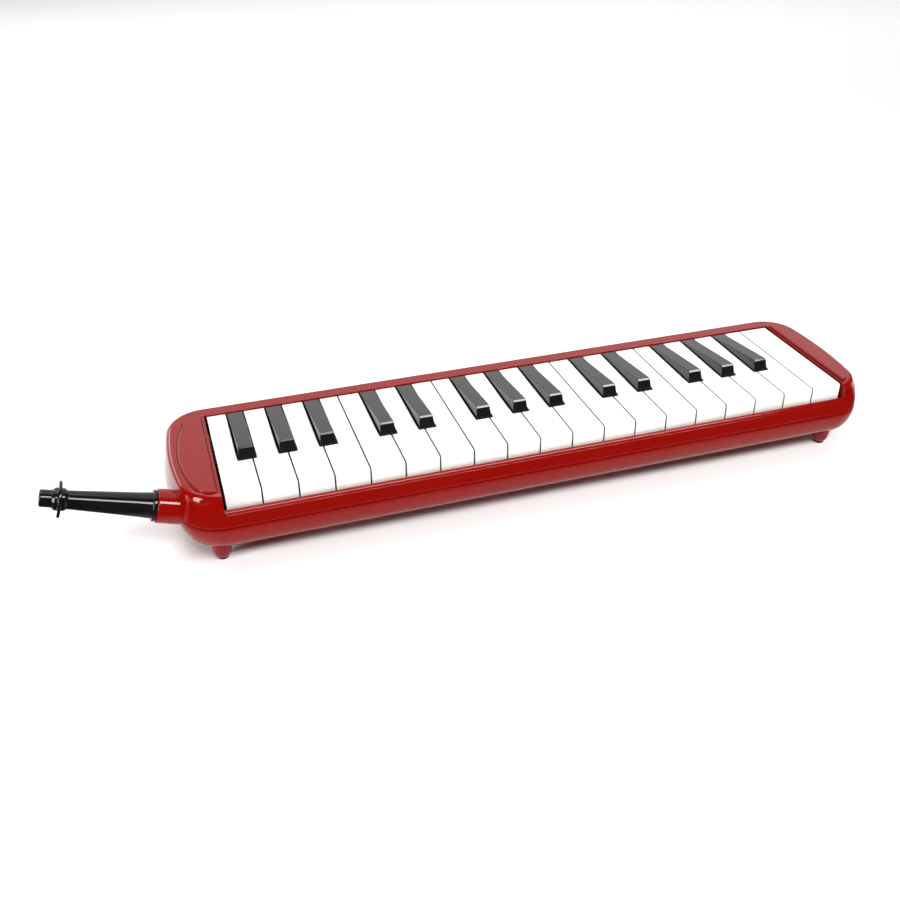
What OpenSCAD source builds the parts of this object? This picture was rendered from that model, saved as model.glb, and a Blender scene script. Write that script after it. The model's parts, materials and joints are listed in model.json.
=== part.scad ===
// Melodica: a 32-key wind keyboard with a sprung see-saw action over a reed chest.
// X runs along the keys from the lowest note, Y from the player to the back, Z up.
// The modules draw in keyboard coordinates: x = 0 at the left edge of the lowest key,
// y = 0 at the plane of the key fronts, z = 0 at the surface the feet stand on.

/* [Keyboard] */
// Pitch of the white keys
pitch = 19.7; // [19:0.1:20]
// Gap between neighbouring white keys
key_gap = 0.7; // [0.5:0.1:0.9]
// Depth of the white keys that can be seen
key_depth = 84.5; // [84:0.5:85]
// Height of the white key tops
key_top = 45.8; // [45.5:0.1:46]
// How far a black key's front stands above the white keys
black_rise = 6.4; // [5.5:0.1:7]
// Distance from the white key fronts to the foot of the black key fronts
black_front = 31.6; // [31:0.2:33]
// Width of a black key at the white key tops
black_w = 9.2; // [8.8:0.1:9.4]

/* [Case] */
// How far the front wall bulges in front of the keys
front_bulge = 4.3; // [4.2:0.1:4.5]
// Depth of the case, front to back
case_depth = 100.5; // [100.3:0.1:102]
// Height of the underside of the case
case_floor = 9.6; // [9.4:0.1:10.4]
// Height of the joint between the two shells
part_z = 26.6; // [26.4:0.1:26.8]
// Height of the front rim, just below the keys
rim_z = 37; // [36.8:0.1:37.2]
// Height of the deck around the keys
deck_z = 46.5; // [46.4:0.1:46.8]
// Wall thickness of the shells
wall = 2.4; // [2.2:0.1:2.6]
// Radius of the round edge between deck and walls
deck_r = 3; // [2.4:0.1:3.2]
// Rise of the two end panels above the deck
panel_rise = 1.2; // [0.8:0.1:1.5]
// Reach of the left end past the keys
left_reach = 28.2; // [28:0.1:28.6]
// Reach of the right end past the keys
right_reach = 23.2; // [23:0.1:23.6]
// How far the left end leans in from the joint to the deck
left_lean = 3.2; // [2.8:0.1:3.4]
// How far the right end leans in from the joint to the deck
right_lean = 4.2; // [3.8:0.1:4.6]

/* [Mouthpiece] */
// Upward tilt of the blowing end, in degrees
tilt = 17.3; // [16:0.1:18]
// Outer radius of the inlet socket
socket_r = 9.25; // [9:0.05:9.5]
// Radius of the air bore through the mouthpiece
air_r = 3.2; // [2.8:0.1:3.4]
// Length of the mouthpiece outside the socket
mouth_len = 58.4; // [57:0.1:60]

/* [Hidden] */
$fn = 48;
glue = 0.05;
fit = 0.05;
white_n = 19;
keys_w = white_n * pitch;

// Plan of the case: two ends of three tangent arcs each, joined by a straight front and back.
// An end is [reach, y of its furthest point, front corner radius, its centre's x, back corner radius].
back_y = case_depth - front_bulge;
LEFT_END = [left_reach, 52.3, 24.7, -0.4, 22.1];
RIGHT_END = [right_reach, 51.7, 20, -0.5, 20.6];
LEFT_PANEL = [19.4, 41, 7.5, -6.6, 7];
RIGHT_PANEL = [11.6, 56, 5, -1.8, 8];
panel_y = [-0.9, key_depth - 0.9];

// Height levels of the action, from the chest up to the keys.
axle = [70, 38];
axle_r = 1.5;
plate_t = 2.5;
bed_z = 28.8;
bed_t = 2;
block_z = [23.8, 31];
block_y = [56, 92.8];
chest_z = [15.2, 21.65];
chest_y = [57, 88];
hole_y = 89;
arm_z = 37.5;
pad_z = block_z[1] + glue;
pad_t = 1.5;
notch_w = black_w / 2 + 0.8;
bed_x = [3, keys_w - 3];

// Blowing axis: the centre of the socket's mouth, and the plug behind it.
mouth_at = [-34.9, 18.7, 34.2];
plug_len = 18;
socket_len = 24;
duct_r = 4.5;
duct_bore = 3.2;
duct_x = -3;
chest_mid = [73.2, 18.4];
valve_end = keys_w + 22;

// Screws, feet and posts.
foot_at = [[-4.8, 8.6], [keys_w - 0.6, 8.6], [keys_w - 0.6, back_y - 11.8], [-4.8, back_y - 11.8]];
rim_round = 2;
chest_wall = 1.6;
post_at = [
    [-10.5, 81], [-12.5, 60], [-12.5, 38],
    [keys_w + 8, 82], [keys_w + 9, 47], [keys_w + 7, 15]
];
post_z = case_floor + 6.5;

// Notes: the white key at place k of the octave from F, and the black key on its right.
LETTERS = ["f", "g", "a", "b", "c", "d", "e"];
SHARP_SHIFT = [-3.0, 0, 3.2, undef, -1.6, 1.8, undef];
function octave(i) = 3 + floor((i + 3) / 7);
function has_sharp(i) = i >= 0 && i < white_n - 1 && !is_undef(SHARP_SHIFT[i % 7]);
function sharp_x(i) = (i + 1) * pitch + SHARP_SHIFT[i % 7];
function white_name(i) = str("white_key_", LETTERS[i % 7], octave(i));
function black_name(i) = str("black_key_", LETTERS[i % 7], octave(i), "_sharp");
WHITES = [for (i = [0:white_n - 1]) i];
BLACKS = [for (i = WHITES) if (has_sharp(i)) i];
function tail_left(i) = has_sharp(i - 1) ? sharp_x(i - 1) + notch_w : i * pitch + key_gap / 2;
function tail_right(i) = has_sharp(i) ? sharp_x(i) - notch_w : (i + 1) * pitch - key_gap / 2;
function tail_x(i) = (tail_left(i) + tail_right(i)) / 2;
LEVERS = [for (i = WHITES) each has_sharp(i) ? [tail_x(i), sharp_x(i)] : [tail_x(i)]];
lever_n = len(LEVERS);
rib_x = concat(
    [LEVERS[0] - 5.8],
    [for (k = [1:lever_n - 1]) (LEVERS[k - 1] + LEVERS[k]) / 2],
    [LEVERS[lever_n - 1] + 5.8]
);

// ---------- helpers ----------

// Points of an arc; the last one is left out when the next arc starts on it.
function arc(c, r, from, to, steps, closed) =
    [for (k = [0:steps - (closed ? 0 : 1)]) let (a = from + (to - from) * k / steps) c + r * [cos(a), sin(a)]];

// Outline of an end that faces -X, from its back to its front, drawn a distance s inside and moved in by lean.
function end_points(end, front, back, s, lean) =
    let (
        near = [end[3], front + end[2]],
        dx = end[0] + near[0],
        dy = end[1] - near[1],
        big = (dx * dx + dy * dy - end[2] * end[2]) / (2 * (dx - end[2])),
        middle = [big - end[0], end[1]],
        far_dy = back - end[4] - end[1],
        far = [middle[0] - sqrt(pow(big - end[4], 2) - far_dy * far_dy), back - end[4]],
        far_a = asin(far_dy / (big - end[4])),
        near_a = asin(dy / (big - end[2])),
        move = [lean, 0]
    )
    concat(
        arc(far + move, end[4] - s, 90, 180 - far_a, 9, false),
        arc(middle + move, big - s, 180 - far_a, 180 + near_a, 7, false),
        arc(near + move, end[2] - s, 180 + near_a, 270, 9, true)
    );

// The same list read backwards and turned to face +X, past the right-hand end of the keys.
function to_right_end(points) =
    [for (k = [len(points) - 1:-1:0]) [keys_w - points[k][0], points[k][1]]];

// Plan of the case, s inside its widest outline; the ends lean in as z rises above the joint.
function outline(s, z) =
    let (rise = pow(max(0, min(1, (z - part_z) / (deck_z - part_z))), 2))
    concat(
        end_points(LEFT_END, -front_bulge, back_y, s, left_lean * rise),
        to_right_end(end_points(RIGHT_END, -front_bulge, back_y, s, right_lean * rise))
    );

// A closed body lofted through [inset, height] rings of the case plan.
module loft(rings) {
    n = len(outline(0, 0));
    m = len(rings);
    points = [for (ring = rings) for (p = outline(ring[0], ring[1])) [p[0], p[1], ring[1]]];
    sides = [
        for (j = [0:m - 2]) for (k = [0:n - 1])
            [j * n + k, (j + 1) * n + k, (j + 1) * n + (k + 1) % n, j * n + (k + 1) % n]
    ];
    polyhedron(points, concat([[for (k = [0:n - 1]) k]], sides, [[for (k = [n - 1:-1:0]) (m - 1) * n + k]]));
}

module box(low, high) {
    translate(low) cube(high - low);
}

// A bar of length w along X, centred on x, with its outline given as [y, z] points.
module side_bar(x, w, outline_yz) {
    translate([x - w / 2, 0, 0]) rotate([90, 0, 90]) linear_extrude(w) polygon(outline_yz);
}

// A round rod along X between two places.
module rod_x(x0, x1, y, z, r) {
    translate([x0, y, z]) rotate([0, 90, 0]) cylinder(h = x1 - x0, r = r);
}

// Turns +Z into the blowing direction, with the origin at the socket's mouth.
module on_blowing_axis() {
    translate(mouth_at) rotate([0, tilt - 90, 0]) children();
}

// A round rod from a to b, running on past each by the given lengths.
module rod_between(a, b, r, past_a, past_b) {
    d = b - a;
    translate(a) rotate([0, acos(d[2] / norm(d)), atan2(d[1], d[0])])
        translate([0, 0, -past_a]) cylinder(h = norm(d) + past_a + past_b, r = r);
}

// A cheese-head screw with its head's underside at z = 0 and its shank going up.
module screw(shank_r, shank_len, head_r, head_h) {
    difference() {
        union() {
            translate([0, 0, -head_h]) cylinder(h = head_h, r = head_r);
            cylinder(h = shank_len, r = shank_r);
        }
        translate([-head_r, -0.35, -head_h - 1]) cube([2 * head_r, 0.7, 1.6]);
    }
}

// ---------- case ----------

UPPER_RINGS = concat(
    [[0.5, part_z], [0, part_z + 0.6], [0.12, 31], [0.15, 33.5], [0.25, 37], [0.4, 40.5]],
    [for (a = [0:15:90]) [0.5 + deck_r * (1 - cos(a)), deck_z - deck_r * (1 - sin(a))]]
);
UPPER_HOLLOW = [
    [1.4, part_z - 1], [1.4, part_z + 1.8], [wall + 0.2, part_z + 1.8],
    [wall + 0.6, 37.5], [wall + 1, deck_z - wall - 1.5], [wall + 2, deck_z - wall]
];
belly = [11.4, part_z - 0.6 - case_floor];
LOWER_RINGS = concat(
    [for (a = [90:-15:0]) [belly[0] * (1 - cos(a)), part_z - 0.6 - belly[1] * sin(a)]],
    [[0.5, part_z]]
);
LOWER_HOLLOW = concat(
    [[belly[0] - 0.4, case_floor + wall]],
    [for (a = [60:-15:0]) [belly[0] * (1 - cos(a)) + wall + 0.4, part_z - 0.6 - (belly[1] - wall) * sin(a)]],
    [[wall + 0.4, part_z + 3]]
);

module socket_hole() {
    on_blowing_axis() translate([0, 0, -30]) cylinder(h = 60, r = socket_r + fit);
}

// Raised panel of one end: a D with its straight side along the keys.
module end_panel(points, x0, x1) {
    translate([0, 0, deck_z - 1]) linear_extrude(1 + panel_rise) intersection() {
        polygon(points);
        translate([x0, 0]) square([x1 - x0, back_y]);
    }
}

module upper_case() {
    cheek = 2.2;
    side = 1.1;
    color([0.72, 0.04, 0.04]) difference() {
        union() {
            difference() {
                loft(UPPER_RINGS);
                difference() {
                    loft(UPPER_HOLLOW);
                    for (x = [-side - cheek, keys_w + side])
                        box([x, -10, part_z + 4], [x + cheek, key_depth + 2, deck_z]);
                    for (p = post_at)
                        translate([p[0], p[1], part_z - 2]) cylinder(h = deck_z - part_z, r = 3.6);
                }
            }
            for (p = post_at)
                translate([p[0], p[1], post_z]) cylinder(h = part_z + 2 - post_z, r = 3.6);
            end_panel(end_points(LEFT_PANEL, panel_y[0], panel_y[1], 0, 0), -left_reach, -3.4);
            end_panel(
                to_right_end(end_points(RIGHT_PANEL, panel_y[0], panel_y[1], 0, 0)),
                keys_w + 2.3, keys_w + right_reach
            );
        }
        box([-side, -10, rim_z], [keys_w + side, key_depth + 0.8, deck_z + 10]);
        difference() {
            box([-side, -10, rim_z - rim_round], [keys_w + side, rim_round - front_bulge + 0.6, rim_z + 1]);
            rod_x(-side - 1, keys_w + side + 1, rim_round - front_bulge + 0.6, rim_z - rim_round, rim_round);
        }
        for (p = post_at)
            translate([p[0], p[1], post_z - 1]) cylinder(h = 10, r = 1.3);
        socket_hole();
    }
}

module lower_case() {
    color([0.72, 0.04, 0.04]) difference() {
        union() {
            loft(LOWER_RINGS);
            loft([[1.5, part_z - 1], [1.5, part_z + 1.6]]);
            for (p = foot_at)
                translate([p[0], p[1], 1.6]) rotate_extrude()
                    polygon([[0, 0], [3.2, 0], [4, 0.9], [4.7, 2.4], [5.2, 5], [5.6, 14], [0, 14]]);
        }
        difference() {
            loft(LOWER_HOLLOW);
            for (x = [20, 120, keys_w - 120, keys_w - 20])
                translate([x, chest_mid[0], case_floor + 1]) cylinder(h = chest_z[0] - case_floor - 1, r = 3);
            for (p = post_at)
                translate([p[0], p[1], case_floor + 1]) cylinder(h = post_z - glue - case_floor - 1, r = 3.6);
        }
        for (p = post_at) {
            translate([p[0], p[1], case_floor - 1]) cylinder(h = 12, r = 1.7);
            translate([p[0], p[1], case_floor - 1]) cylinder(h = 2.2, r = 3.2);
        }
        socket_hole();
        rod_x(valve_end - 12, valve_end + 10, chest_mid[0], chest_mid[1], 4.1);
    }
}

module foot_tips() {
    color([0.05, 0.05, 0.05]) for (p = foot_at)
        translate([p[0], p[1], 0]) rotate_extrude()
            polygon([[0, 0], [2.2, 0], [2.8, 0.35], [3.1, 0.9], [3.1, 1.6], [0, 1.6]]);
}

module case_screws() {
    color([0.7, 0.7, 0.72]) for (p = post_at)
        translate([p[0], p[1], case_floor + 1.2]) screw(1.25, 14, 2.8, 1.1);
}

// ---------- air inlet ----------

module inlet_socket() {
    color([0.72, 0.04, 0.04]) on_blowing_axis() difference() {
        rotate_extrude() polygon([
            [0, -socket_len], [socket_r, -socket_len], [socket_r, -0.6], [socket_r - 0.6, 0], [0, 0]
        ]);
        translate([0, 0, -plug_len - 2]) cylinder(h = plug_len + 3, r = 6 + fit);
        translate([0, 0, -socket_len - 1]) cylinder(h = socket_len, r = duct_bore);
        translate([0, 0, -socket_len - 1]) cylinder(h = 3.6, r = 6.6);
    }
}

module mouthpiece() {
    tip_r = 4.6;
    disc_r = 9.8;
    disc_t = 1.7;
    disc_at = mouth_len - 9 - disc_t;
    color([0.03, 0.03, 0.03]) on_blowing_axis() rotate_extrude() polygon([
        [air_r, -plug_len], [5.6, -plug_len], [6, -plug_len + 0.4], [6, 0.1], [8, 0.1], [8.5, 0.6],
        [8.5, 1.7], [8, 2.2], [7.1, 2.4], [7.05, 3.2], [5, disc_at - 2.2], [5.3, disc_at - 1],
        [6.2, disc_at - 0.3], [disc_r - 0.35, disc_at], [disc_r, disc_at + 0.4], [disc_r, disc_at + disc_t - 0.4],
        [disc_r - 0.35, disc_at + disc_t], [5.8, disc_at + disc_t + 0.3], [5, disc_at + disc_t + 1],
        [tip_r, disc_at + disc_t + 1.8], [tip_r, mouth_len - 0.6], [tip_r - 0.2, mouth_len - 0.2],
        [tip_r - 0.5, mouth_len], [air_r, mouth_len]
    ]);
}

duct_start = mouth_at + (socket_len + 3) * [cos(tilt), 0, -sin(tilt)];
duct_bend = [duct_x, mouth_at[1], duct_start[2] - (duct_x - duct_start[0]) * tan(tilt)];
duct_low = [duct_x, chest_mid[0], chest_mid[1]];

// Three straight runs that pass through each other at the two bends; the middle one has its own radius.
module duct_run(r, middle_r, from, to) {
    rod_between(from, duct_bend, r, 0, r);
    rod_between(duct_bend, duct_low, middle_r, r, r);
    rod_between(duct_low, [to, duct_low[1], duct_low[2]], r, r, 0);
}

module air_duct() {
    d = [cos(tilt), 0, -sin(tilt)];
    color([0.15, 0.15, 0.15]) difference() {
        duct_run(duct_r, duct_r + 0.4, mouth_at + (socket_len + glue) * d, bed_x[0] - glue);
        duct_run(duct_bore, duct_bore - 0.3, mouth_at + (socket_len - 1) * d, bed_x[0] + 3);
    }
}

module duct_seal() {
    color([0.1, 0.1, 0.1]) on_blowing_axis() translate([0, 0, -socket_len + 0.2]) rotate_extrude()
        polygon([[duct_bore + 0.4, 0], [6.5, 0], [6.5, 2.3], [duct_bore + 0.4, 2.3]]);
}

// ---------- keys ----------

// Lever under a key: the beam, the bored boss, the tail arm with its foot, and the pad.
module lever(x, from_y) {
    foot_z = pad_z + pad_t + glue;
    side_bar(x, 5, [
        [from_y, key_top - plate_t + 0.5], [from_y, 37.4], [axle[0], 37.4], [axle[0], key_top - plate_t + 0.5]
    ]);
    side_bar(x, 5, [
        [axle[0] - 4, key_top - plate_t + 0.5], [axle[0] - 4, arm_z - 2], [86, arm_z], [86, foot_z],
        [91.7, foot_z], [91.7, 40.6], [84, 41.4], [80, key_top - plate_t + 0.5]
    ]);
    rod_x(x - 3.6, x + 3.6, axle[0], axle[1], 4.2);
}

module pad(x) {
    box([x - 3.4, 86.2, pad_z], [x + 3.4, 91.6, pad_z + pad_t]);
}

module axle_bore(x) {
    rod_x(x - 8, x + 8, axle[0], axle[1], axle_r + fit);
}

module white_key(i) {
    left = i * pitch + key_gap / 2;
    right = left + pitch - key_gap;
    r = 1.6;
    front = concat(
        [[0, 33]],
        [for (a = [0:15:90]) [r * (1 - cos(a)), key_top - r * (1 - sin(a))]],
        [[key_depth, key_top], [key_depth, key_top - plate_t], [2.2, key_top - plate_t], [2.2, 33]]
    );
    notch_y = black_front - 1;
    plan = [
        [left, -1], [right, -1], [right, notch_y], [tail_right(i), notch_y],
        [tail_right(i), key_depth + 1], [tail_left(i), key_depth + 1], [tail_left(i), notch_y], [left, notch_y]
    ];
    color([0.95, 0.93, 0.88]) {
        difference() {
            union() {
                intersection() {
                    side_bar((left + right) / 2, pitch, front);
                    translate([0, 0, 30]) linear_extrude(20) polygon(plan);
                }
                for (x = [left, right - 1.4])
                    box([x, 2, 36.4], [x + 1.4, 28, key_top - plate_t + 0.4]);
                lever(tail_x(i), 26);
            }
            axle_bore(tail_x(i));
        }
        pad(tail_x(i));
    }
}

// Wedge of a black key, shrunk all round by s: level with the white keys at the back.
module black_wedge(x, s) {
    half = black_w / 2 - s;
    low = key_top - 3.4;
    top = key_top + black_rise - s;
    slope = 0.1;
    intersection() {
        side_bar(x, 2 * black_w, [
            [black_front - 0.4 + s, low - s], [black_front + s, key_top], [black_front + 2 + s, top - 1.2],
            [black_front + 2.5 + s, top - 0.4], [black_front + 3.6 + s, top],
            [key_depth - s, key_top + 0.2 - s], [key_depth - s, low - s]
        ]);
        translate([x, key_depth + 5, 0]) rotate([90, 0, 0]) linear_extrude(key_depth) polygon([
            [-half - slope * (key_top - low + s), low - s], [half + slope * (key_top - low + s), low - s],
            [half - slope * (top - key_top), top + 0.01], [-half + slope * (top - key_top), top + 0.01]
        ]);
    }
}

module black_key(i) {
    x = sharp_x(i);
    color([0.04, 0.04, 0.04]) {
        difference() {
            union() {
                // Two hollows, one each side of the web that carries the lever.
                difference() {
                    black_wedge(x, 0);
                    difference() {
                        black_wedge(x, 1.5);
                        box([x - 1.5, 0, 30], [x + 1.5, back_y, 60]);
                    }
                }
                lever(x, black_front + 3);
            }
            axle_bore(x);
        }
        pad(x);
    }
}

// ---------- action ----------

comb_x = [for (k = [1, 11, 21, 31]) rib_x[k]];

module key_bed() {
    low = bed_z;
    top = bed_z + bed_t;
    color([0.2, 0.2, 0.2]) difference() {
        union() {
            box([bed_x[0], 4, low], [bed_x[1], 54, top]);
            box([rib_x[0] - 0.9, 57, block_z[1] + glue], [bed_x[1], 82, block_z[1] + 1.6]);
            for (x = rib_x)
                side_bar(x, 1.8, [
                    [50, low + 0.5], [54, low + 0.5], [55.2, block_z[1] + 0.4], [76, block_z[1] + 0.4],
                    [74, 40.4], [66, 40.4], [60, 34.5], [50, 34.5]
                ]);
            for (i = WHITES)
                translate([(i + 0.5) * pitch - 7.4, 18, low + 0.5]) cube([14.8, 2, 39.2 - low - 0.5]);
        }
        rod_x(-10, keys_w + 10, axle[0], axle[1], axle_r + 0.02);
        for (x = comb_x)
            translate([x, 46.5, low - 1]) cylinder(h = 5, r = 1.3);
    }
}

module key_axle() {
    color([0.75, 0.76, 0.78]) rod_x(rib_x[0] - 0.95, rib_x[lever_n] + 0.95, axle[0], axle[1], axle_r);
}

module key_spring_comb() {
    z = bed_z + bed_t + glue;
    t = 0.3;
    color([0.8, 0.7, 0.4]) difference() {
        union() {
            box([bed_x[0] + 1, 44, z], [bed_x[1] - 1, 49, z + t]);
            for (x = LEVERS)
                side_bar(x, 3, [[44.5, z], [44.5, z + t], [36, 37.3], [35.6, 37.1]]);
        }
        for (x = comb_x)
            translate([x, 46.5, z - 1]) cylinder(h = 3, r = 1.3);
    }
}

module comb_screws() {
    color([0.7, 0.7, 0.72]) for (x = comb_x)
        translate([x, 46.5, bed_z + bed_t + 0.4]) mirror([0, 0, 1]) screw(1.2, 4.5, 2.2, 1);
}

module white_key_felt() {
    color([0.5, 0.1, 0.1]) box([bed_x[0], 7, bed_z + bed_t + glue], [bed_x[1], 13, bed_z + bed_t + 1.2]);
}

module black_key_felt() {
    color([0.5, 0.1, 0.1]) box([bed_x[0], 28.5, bed_z + bed_t + glue], [bed_x[1], 34, bed_z + bed_t + 2.4]);
}

// ---------- reed chest ----------

module cell_block() {
    color([0.85, 0.85, 0.82]) difference() {
        box([bed_x[0], block_y[0], block_z[0]], [bed_x[1], block_y[1], block_z[1]]);
        for (x = LEVERS) {
            box([x - 3.6, block_y[0] + 3, block_z[0] - 1], [x + 3.6, block_y[1] - 2, block_z[1] - 1.6]);
            box([x - 2, hole_y - 1.6, block_z[1] - 2], [x + 2, hole_y + 1.6, block_z[1] + 1]);
        }
    }
}

reed_z = [block_z[0] - 1.05, block_z[0] - glue];
reed_y = 61.5;
plate_split = (LEVERS[15] + LEVERS[16]) / 2;
plate_screw_x = [bed_x[0] + 4, plate_split - 4, plate_split + 4, bed_x[1] - 4];
function reed_len(k) = 24.4 - 14.4 * k / (lever_n - 1);

module reed_plate(first, last, x0, x1) {
    color([0.8, 0.72, 0.45]) difference() {
        box([x0, chest_y[0] - 0.5, reed_z[0]], [x1, chest_y[1] + 2, reed_z[1]]);
        for (k = [first:last])
            box([LEVERS[k] - 1.3, reed_y, reed_z[0] - 1], [LEVERS[k] + 1.3, reed_y + reed_len(k), reed_z[1] + 1]);
        for (x = plate_screw_x)
            translate([x, chest_y[0] + 1.2, reed_z[0] - 1]) cylinder(h = 4, r = 0.9);
    }
}

module reed_plate_low() {
    reed_plate(0, 15, bed_x[0], plate_split - 0.2);
}

module reed_plate_high() {
    reed_plate(16, lever_n - 1, plate_split + 0.2, bed_x[1]);
}

module reed_tongues() {
    color([0.9, 0.8, 0.5]) for (k = [0:lever_n - 1])
        box(
            [LEVERS[k] - 1.1, reed_y - 0.9, reed_z[0] - glue - 0.25],
            [LEVERS[k] + 1.1, reed_y + reed_len(k) - 0.4, reed_z[0] - glue]
        );
}

module reed_rivets() {
    color([0.85, 0.75, 0.5]) for (x = LEVERS)
        translate([x, reed_y - 0.3, reed_z[0] - 0.9]) cylinder(h = 0.55, r = 0.7);
}

module reed_plate_screws() {
    color([0.7, 0.7, 0.72]) for (x = plate_screw_x)
        translate([x, chest_y[0] + 1.2, reed_z[0] - 0.02]) screw(0.8, 0.9, 0.8, 0);
}

module chest_gasket() {
    z0 = chest_z[1] + glue;
    z1 = reed_z[0] - glue;
    color([0.12, 0.12, 0.12]) difference() {
        box([bed_x[0], chest_y[0], z0], [bed_x[1], chest_y[1], z1]);
        box(
            [bed_x[0] + chest_wall, chest_y[0] + chest_wall, z0 - 1],
            [bed_x[1] - chest_wall, chest_y[1] - chest_wall, z1 + 1]
        );
    }
}

module chest_cover() {
    color([0.85, 0.85, 0.82]) difference() {
        box([bed_x[0], chest_y[0], chest_z[0]], [bed_x[1], chest_y[1], chest_z[1]]);
        box(
            [bed_x[0] + chest_wall, chest_y[0] + chest_wall, chest_z[0] + 1.2],
            [bed_x[1] - chest_wall, chest_y[1] - chest_wall, chest_z[1] + 1]
        );
        rod_x(bed_x[0] - 1, bed_x[0] + 3, chest_mid[0], chest_mid[1], 3);
        rod_x(bed_x[1] - 3, bed_x[1] + 1, chest_mid[0], chest_mid[1], 1.5);
    }
}

// ---------- spit valve ----------

module spit_valve_button() {
    head_x = valve_end;
    color([0.03, 0.03, 0.03]) translate([0, chest_mid[0], chest_mid[1]]) rotate([0, 90, 0]) rotate_extrude() polygon([
        [0, bed_x[1] - 4.2], [1.1, bed_x[1] - 4.2], [1.1, head_x - 7], [4, head_x - 7],
        [4, head_x - 0.8], [3.2, head_x], [0, head_x]
    ]);
}

module spit_valve_seal() {
    color([0.1, 0.1, 0.1]) translate([0, chest_mid[0], chest_mid[1]]) rotate([0, 90, 0]) rotate_extrude()
        polygon([
            [1.15, bed_x[1] - 3.4], [1.9, bed_x[1] - 3.4], [1.9, bed_x[1] - 2.05], [1.15, bed_x[1] - 2.05]
        ]);
}

// Compression spring as a swept helix.
module spit_valve_spring() {
    turns = 5;
    sides = 8;
    steps = 14 * turns;
    coil_r = 2.5;
    wire = 0.3;
    x0 = bed_x[1] + 0.4;
    x1 = valve_end - 7.4;
    points = [
        for (k = [0:steps]) let (a = 360 * turns * k / steps) for (s = [0:sides - 1])
            let (b = 360 * s / sides, r = coil_r + wire * cos(b))
            [x0 + (x1 - x0) * k / steps + wire * sin(b), r * cos(a), r * sin(a)]
    ];
    sides_faces = [
        for (k = [0:steps - 1]) for (s = [0:sides - 1])
            [k * sides + s, (k + 1) * sides + s, (k + 1) * sides + (s + 1) % sides, k * sides + (s + 1) % sides]
    ];
    color([0.75, 0.76, 0.78]) translate([0, chest_mid[0], chest_mid[1]]) polyhedron(points, concat(
        [[for (s = [0:sides - 1]) s]],
        sides_faces,
        [[for (s = [sides - 1:-1:0]) steps * sides + s]]
    ));
}

// ---------- placing ----------

// Moves the keyboard coordinates so that the origin is under the middle of the whole object.
blow_reach = -mouth_at[0] + mouth_len * cos(tilt) + 4 * sin(tilt);
middle = [(keys_w + right_reach - blow_reach) / 2, (back_y - front_bulge) / 2, 0];

module placed() {
    translate(-middle) children();
}

placed() upper_case();
placed() lower_case();
placed() inlet_socket();
placed() mouthpiece();
placed() foot_tips();
placed() case_screws();
placed() key_bed();
placed() key_axle();
placed() key_spring_comb();
placed() comb_screws();
placed() white_key_felt();
placed() black_key_felt();
placed() cell_block();
placed() reed_plate_low();
placed() reed_plate_high();
placed() reed_tongues();
placed() reed_rivets();
placed() reed_plate_screws();
placed() chest_gasket();
placed() chest_cover();
placed() air_duct();
placed() duct_seal();
placed() spit_valve_button();
placed() spit_valve_seal();
placed() spit_valve_spring();
for (i = WHITES) placed() white_key(i);
for (i = BLACKS) placed() black_key(i);
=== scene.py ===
"""Looks of a 32-key melodica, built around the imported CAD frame.

Shapes are written in millimetres in keyboard coordinates, the ones the CAD part uses: x = 0 at the
left edge of the lowest key, y = 0 at the plane of the key fronts, z = 0 on the table. to_frame()
turns them into the frame's metres, from where the keys are.
"""

import json
import math

import bmesh
import bpy
from mathutils import Matrix, Vector


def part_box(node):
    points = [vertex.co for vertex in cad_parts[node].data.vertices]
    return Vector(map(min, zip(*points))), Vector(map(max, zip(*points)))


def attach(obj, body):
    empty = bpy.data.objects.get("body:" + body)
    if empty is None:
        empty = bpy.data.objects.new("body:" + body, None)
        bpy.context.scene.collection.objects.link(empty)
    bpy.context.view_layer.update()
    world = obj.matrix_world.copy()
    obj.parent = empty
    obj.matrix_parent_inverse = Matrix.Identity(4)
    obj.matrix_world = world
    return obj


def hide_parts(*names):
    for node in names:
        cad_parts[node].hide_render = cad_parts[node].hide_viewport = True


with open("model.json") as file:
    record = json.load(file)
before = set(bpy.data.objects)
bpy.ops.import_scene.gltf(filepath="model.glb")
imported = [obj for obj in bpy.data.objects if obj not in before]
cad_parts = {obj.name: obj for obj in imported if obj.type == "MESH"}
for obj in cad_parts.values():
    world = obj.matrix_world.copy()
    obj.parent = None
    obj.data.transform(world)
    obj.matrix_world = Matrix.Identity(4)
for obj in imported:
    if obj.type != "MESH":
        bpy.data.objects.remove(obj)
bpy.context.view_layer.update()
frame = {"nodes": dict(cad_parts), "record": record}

# ---------- measures taken from the frame ----------

MM = 0.001
LETTERS = "fgabcde"
WHITE_COUNT = 19
first_low, first_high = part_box("white_key_f3")
last_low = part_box("white_key_c6")[0]
sharp_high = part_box("black_key_f3_sharp")[1]
lower_low, lower_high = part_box("lower_case")

PITCH = (last_low.x - first_low.x) / (WHITE_COUNT - 1) / MM
GAP = PITCH - (first_high.x - first_low.x) / MM
ORIGIN = Vector((first_low.x - GAP / 2 * MM, first_low.y, 0))
KEYS_W = WHITE_COUNT * PITCH
KEY_TOP = first_high.z / MM
SHARP_TOP = sharp_high.z / MM
FRONT_Y = (lower_low.y - ORIGIN.y) / MM
BACK_Y = (lower_high.y - ORIGIN.y) / MM
LEFT_REACH = (ORIGIN.x - lower_low.x) / MM
RIGHT_REACH = (lower_high.x - ORIGIN.x) / MM - KEYS_W

UP = (0, 0, 1)
RIGHT = (1, 0, 0)

# ---------- measures of the design, in millimetres ----------

KEY_DEPTH = 84.5
PLATE_T = 2.5
NOTCH_Y = 30.6
NOTCH_HALF = 5.4
SHARP_FRONT = 31.6
SHARP_HALF = 4.6
SHARP_LOW = KEY_TOP - 3.4
SHARP_SHIFT = (-3.0, 0.0, 3.2, None, -1.6, 1.8, None)

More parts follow.
